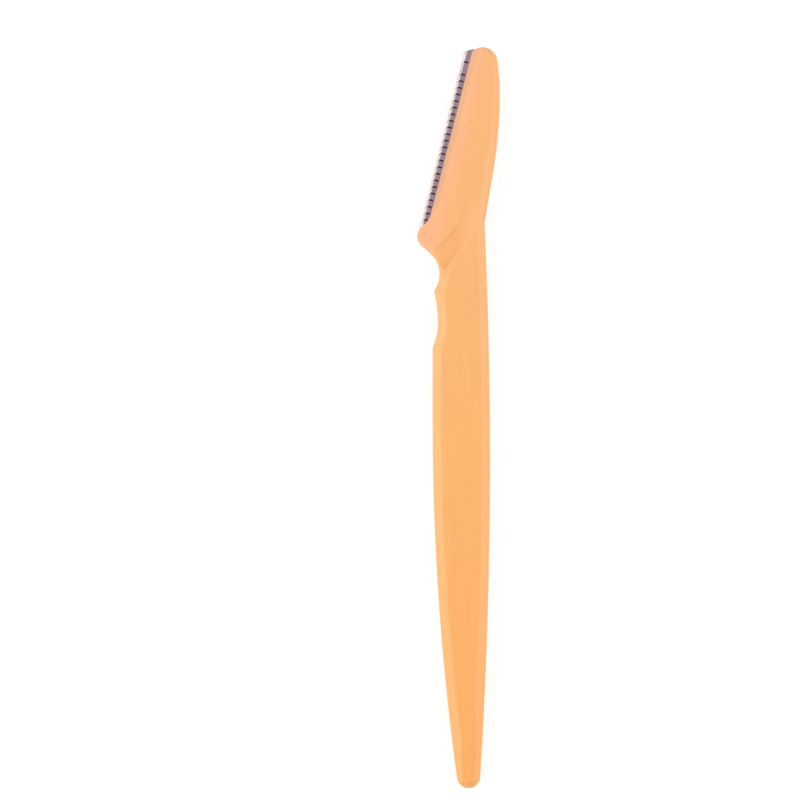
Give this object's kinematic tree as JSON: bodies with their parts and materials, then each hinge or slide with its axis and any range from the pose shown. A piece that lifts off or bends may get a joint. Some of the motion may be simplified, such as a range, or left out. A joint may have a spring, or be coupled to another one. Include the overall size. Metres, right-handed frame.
{
  "type": "eyebrow razor",
  "caption": "Slim flat eyebrow razor: bevelled handle with finger scoops, slanted head and a narrow steel blade under a slotted folded guard.",
  "frame": {"origin": "middle of the bounding box, on the plane that the grip's back lies on", "axes": "+Y up the handle to the head, -X towards the blade, +Z out of the front face"},
  "size_m": [0.0162, 0.145, 0.0044],
  "materials": {
    "handle_plastic": "satin peach-orange moulding",
    "blade_steel": "ground stainless strip",
    "guard_steel": "rolled stainless foil, folded and slotted"
  },
  "bodies": {
    "root": {"handle": "handle_plastic", "blade": "blade_steel", "guard": "guard_steel"}
  },
  "joints": []
}
